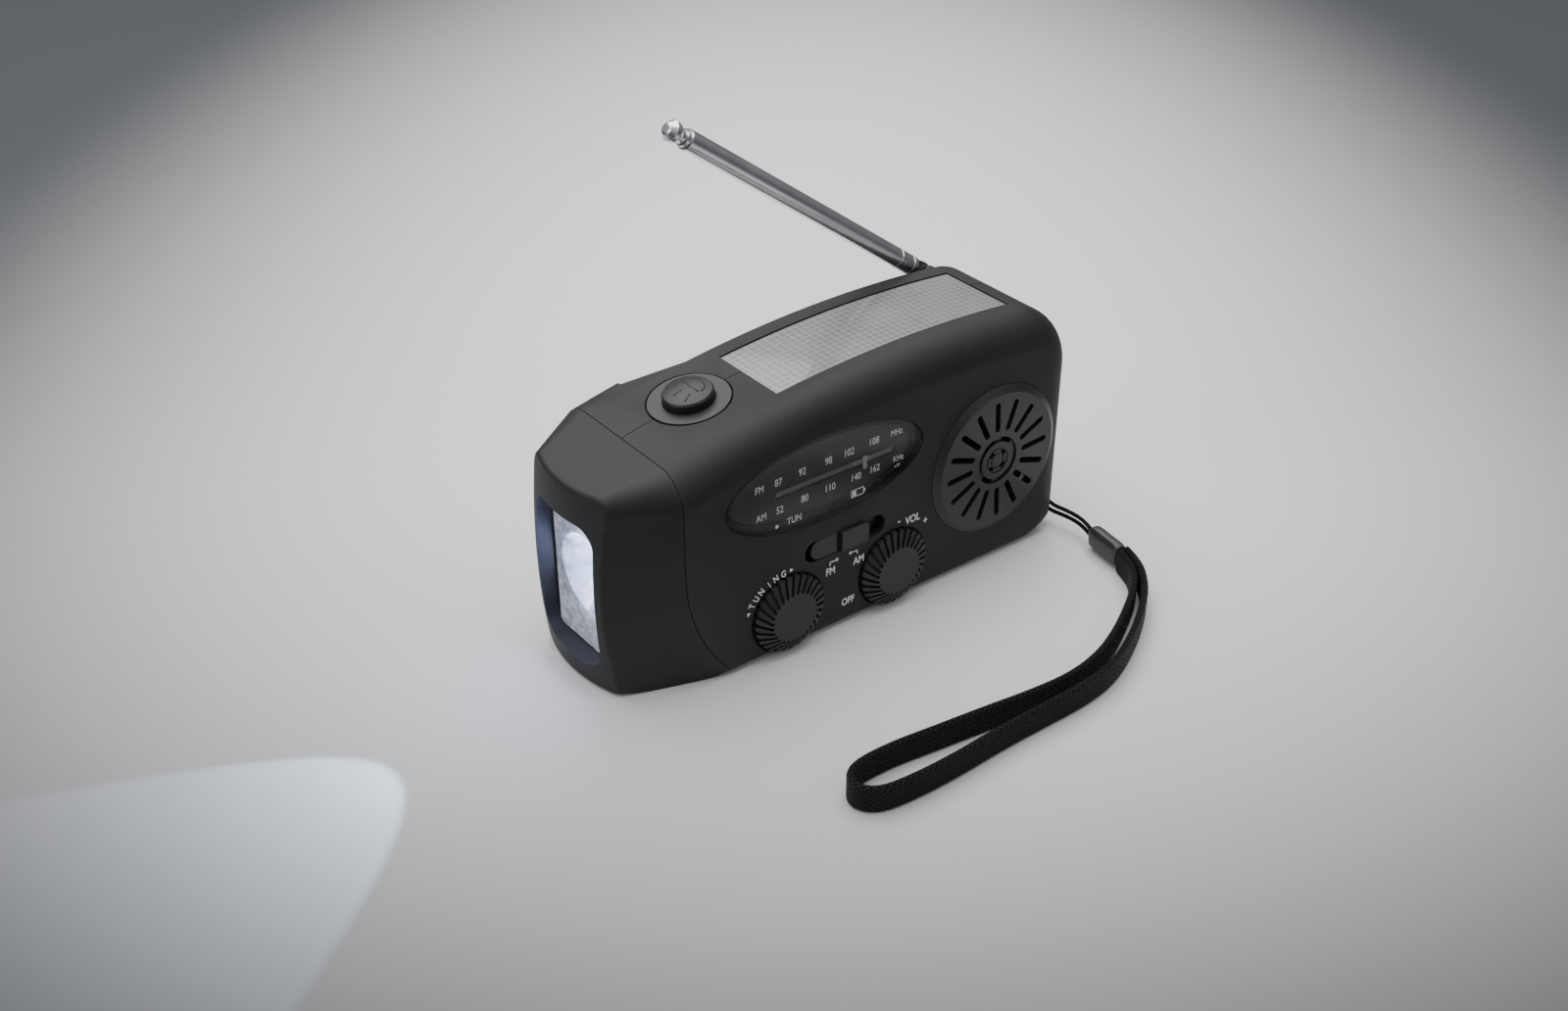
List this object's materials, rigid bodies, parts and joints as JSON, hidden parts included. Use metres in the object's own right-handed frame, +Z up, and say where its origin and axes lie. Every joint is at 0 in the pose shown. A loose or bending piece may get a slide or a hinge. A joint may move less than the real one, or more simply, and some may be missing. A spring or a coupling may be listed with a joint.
{
  "type": "emergency radio",
  "caption": "Hand-crank emergency radio with torch head, dial, round knobs, speaker, solar panel, telescopic antenna and wrist strap.",
  "frame": {"origin": "middle of the flat underside, on the floor", "axes": "+X to the speaker end, -Y is the front with the dial and knobs, +Z up"},
  "size_m": [0.1292, 0.1009, 0.1125],
  "materials": {
    "case_plastic": "matte, slightly soft",
    "trim_plastic": "satin",
    "dark_plastic": "matte",
    "grey_plastic": "satin",
    "pale_plastic": "satin",
    "window": "clear",
    "dial_window": "smoked",
    "mirror": "polished",
    "chrome": "polished",
    "steel": "plain",
    "brass": "plain",
    "rubber": "matte",
    "webbing": "woven",
    "solar": "glossy",
    "board": "satin",
    "copper": "wound wire",
    "magnet": "plain",
    "led": "clear",
    "battery": "sleeved"
  },
  "bodies": {
    "case": {"front_shell": "case_plastic", "rear_shell": "case_plastic", "torch_head": "case_plastic", "case_screws": "steel", "torch_lens": "window", "torch_reflector": "mirror", "torch_led": "led", "led_board": "board", "dial_lens": "dial_window", "dial_plate": "dark_plastic", "pointer_rail": "pale_plastic", "tuning_capacitor": "pale_plastic", "volume_control": "steel", "band_switch": "steel", "button_ring": "trim_plastic", "torch_switch": "dark_plastic", "speaker_grille": "trim_plastic", "speaker_frame": "steel", "speaker_cone": "dark_plastic", "speaker_magnet": "magnet", "solar_cover": "solar", "solar_cell": "dark_plastic", "antenna_bracket": "dark_plastic", "antenna_screw": "steel", "antenna_pin": "steel", "idler_axle": "steel", "gear_plate": "grey_plastic", "generator_case": "steel", "generator_stator": "copper", "main_board": "board", "ferrite_rod": "magnet", "antenna_coil": "copper", "battery_pack": "battery", "charge_board": "board", "charge_socket": "steel", "lug_pin": "steel", "strap_webbing": "webbing", "strap_string": "webbing", "strap_bead": "grey_plastic"},
    "tuning": {"tuning_knob": "trim_plastic", "tuning_shaft": "brass"},
    "volume": {"volume_knob": "trim_plastic", "volume_shaft": "brass"},
    "pointer": {"dial_pointer": "pale_plastic"},
    "slider": {"band_slider": "trim_plastic"},
    "button": {"torch_button": "rubber"},
    "mast_1": {"antenna_tube": "chrome"},
    "mast_2": {"antenna_section_2": "chrome"},
    "mast_3": {"antenna_section_3": "chrome"},
    "mast_4": {"antenna_rod": "chrome"},
    "crank": {"crank_arm": "trim_plastic", "grip_pin": "steel", "crank_shaft": "steel", "crank_gear": "pale_plastic"},
    "grip": {"crank_grip": "trim_plastic"},
    "idler": {"idler_gear": "pale_plastic"},
    "rotor": {"rotor_pinion": "brass", "generator_rotor": "magnet"},
    "port": {"port_cover": "rubber"}
  },
  "joints": [
    {"name": "tuning_turn", "type": "hinge", "parent": "case", "child": "tuning", "pos_m": [-0.021, -0.0225, 0.0103], "axis": [0, 1, 0], "range_deg": [-196, 64]},
    {"name": "pointer_travel", "type": "slide", "parent": "case", "child": "pointer", "axis": [1, 0, 0], "range_m": [-0.0236, 0.0078]},
    {"name": "volume_turn", "type": "hinge", "parent": "case", "child": "volume", "pos_m": [0.009, -0.0225, 0.0103], "axis": [0, 1, 0], "range_deg": [-150, 120]},
    {"name": "band_slide", "type": "slide", "parent": "case", "child": "slider", "axis": [1, 0, 0], "range_m": [0, 0.004]},
    {"name": "button_press", "type": "slide", "parent": "case", "child": "button", "axis": [0.175, 0, -0.9846], "range_m": [0, 0.0012], "stiffness_N_per_m": 300, "springref_m": -0.001},
    {"name": "antenna_swing", "type": "hinge", "parent": "case", "child": "mast_1", "pos_m": [0.0495, 0.0158, 0.0578], "axis": [0, 1, 0], "range_deg": [-36.3, 143.7]},
    {"name": "antenna_draw_2", "type": "slide", "parent": "mast_1", "child": "mast_2", "axis": [-0.8059, 0, 0.592], "range_m": [0, 0.068]},
    {"name": "antenna_draw_3", "type": "slide", "parent": "mast_2", "child": "mast_3", "axis": [-0.8059, 0, 0.592], "range_m": [0, 0.068]},
    {"name": "antenna_draw_4", "type": "slide", "parent": "mast_3", "child": "mast_4", "axis": [-0.8059, 0, 0.592], "range_m": [0, 0.068]},
    {"name": "crank_spin", "type": "hinge", "parent": "case", "child": "crank", "pos_m": [0.009, 0.02, 0.027], "axis": [0, 1, 0], "continuous": true},
    {"name": "grip_fold", "type": "hinge", "parent": "crank", "child": "grip", "pos_m": [-0.0293, 0.02065, 0.027], "axis": [0, 0, 1], "range_deg": [0, 90]},
    {"name": "idler_spin", "type": "hinge", "parent": "case", "child": "idler", "pos_m": [-0.0142, 0.0099, 0.027], "axis": [0, 1, 0], "continuous": true},
    {"name": "rotor_spin", "type": "hinge", "parent": "case", "child": "rotor", "pos_m": [-0.03033, 0.0099, 0.01484], "axis": [0, 1, 0], "continuous": true},
    {"name": "port_open", "type": "hinge", "parent": "case", "child": "port", "pos_m": [0.06352, 0.00183, 0.0206], "axis": [0, 0, -1], "range_deg": [0, 95]}
  ],
  "couplings": [
    {"joint": "pointer_travel", "follows": "tuning_turn", "m_per_rad": 0.006853},
    {"joint": "idler_spin", "follows": "crank_spin", "ratio": -3.6},
    {"joint": "rotor_spin", "follows": "crank_spin", "ratio": 10.8}
  ]
}
